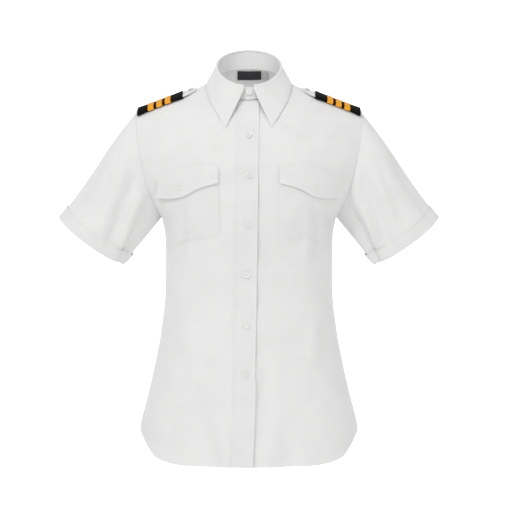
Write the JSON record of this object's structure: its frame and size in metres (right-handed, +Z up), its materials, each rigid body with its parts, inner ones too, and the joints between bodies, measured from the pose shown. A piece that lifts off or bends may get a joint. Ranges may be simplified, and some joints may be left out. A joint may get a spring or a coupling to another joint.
{
  "type": "pilot shirt",
  "caption": "White short-sleeved pilot shirt in a fitted cut, filled out as worn, with a pointed collar, flapped chest pockets and shoulder straps carrying barred rank slides.",
  "frame": {"origin": "middle of the base of the neck, level with the shoulder points at the neck, where the wearer holds the shirt", "axes": "+Z up, -Y the shirt's front, +X towards the wearer's left"},
  "size_m": [0.6852, 0.2428, 0.7469],
  "materials": {
    "shirt_cloth": "matt woven cotton blend",
    "button_resin": "semi-gloss resin",
    "slide_black": "matt woven",
    "bar_gold": "embroidered thread, satin",
    "label_black": "satin woven"
  },
  "bodies": {
    "root": {"front_right": "shirt_cloth", "front_left": "shirt_cloth", "back": "shirt_cloth", "sleeve_right": "shirt_cloth", "sleeve_left": "shirt_cloth", "collar_stand": "shirt_cloth", "collar_leaf": "shirt_cloth", "placket": "shirt_cloth", "cuff_right": "shirt_cloth", "cuff_left": "shirt_cloth", "pocket_right": "shirt_cloth", "pocket_left": "shirt_cloth", "flap_right": "shirt_cloth", "flap_left": "shirt_cloth", "strap_right": "shirt_cloth", "strap_left": "shirt_cloth", "size_tab": "shirt_cloth", "neck_label": "label_black", "slide_right": "slide_black", "bar_right_1": "bar_gold", "bar_right_2": "bar_gold", "bar_right_3": "bar_gold", "slide_left": "slide_black", "bar_left_1": "bar_gold", "bar_left_2": "bar_gold", "bar_left_3": "bar_gold", "button_front_1": "button_resin", "button_front_2": "button_resin", "button_front_3": "button_resin", "button_front_4": "button_resin", "button_front_5": "button_resin", "button_front_6": "button_resin", "button_stand": "button_resin", "button_flap_right": "button_resin", "button_flap_left": "button_resin", "button_strap_right": "button_resin", "button_strap_left": "button_resin"}
  },
  "joints": []
}
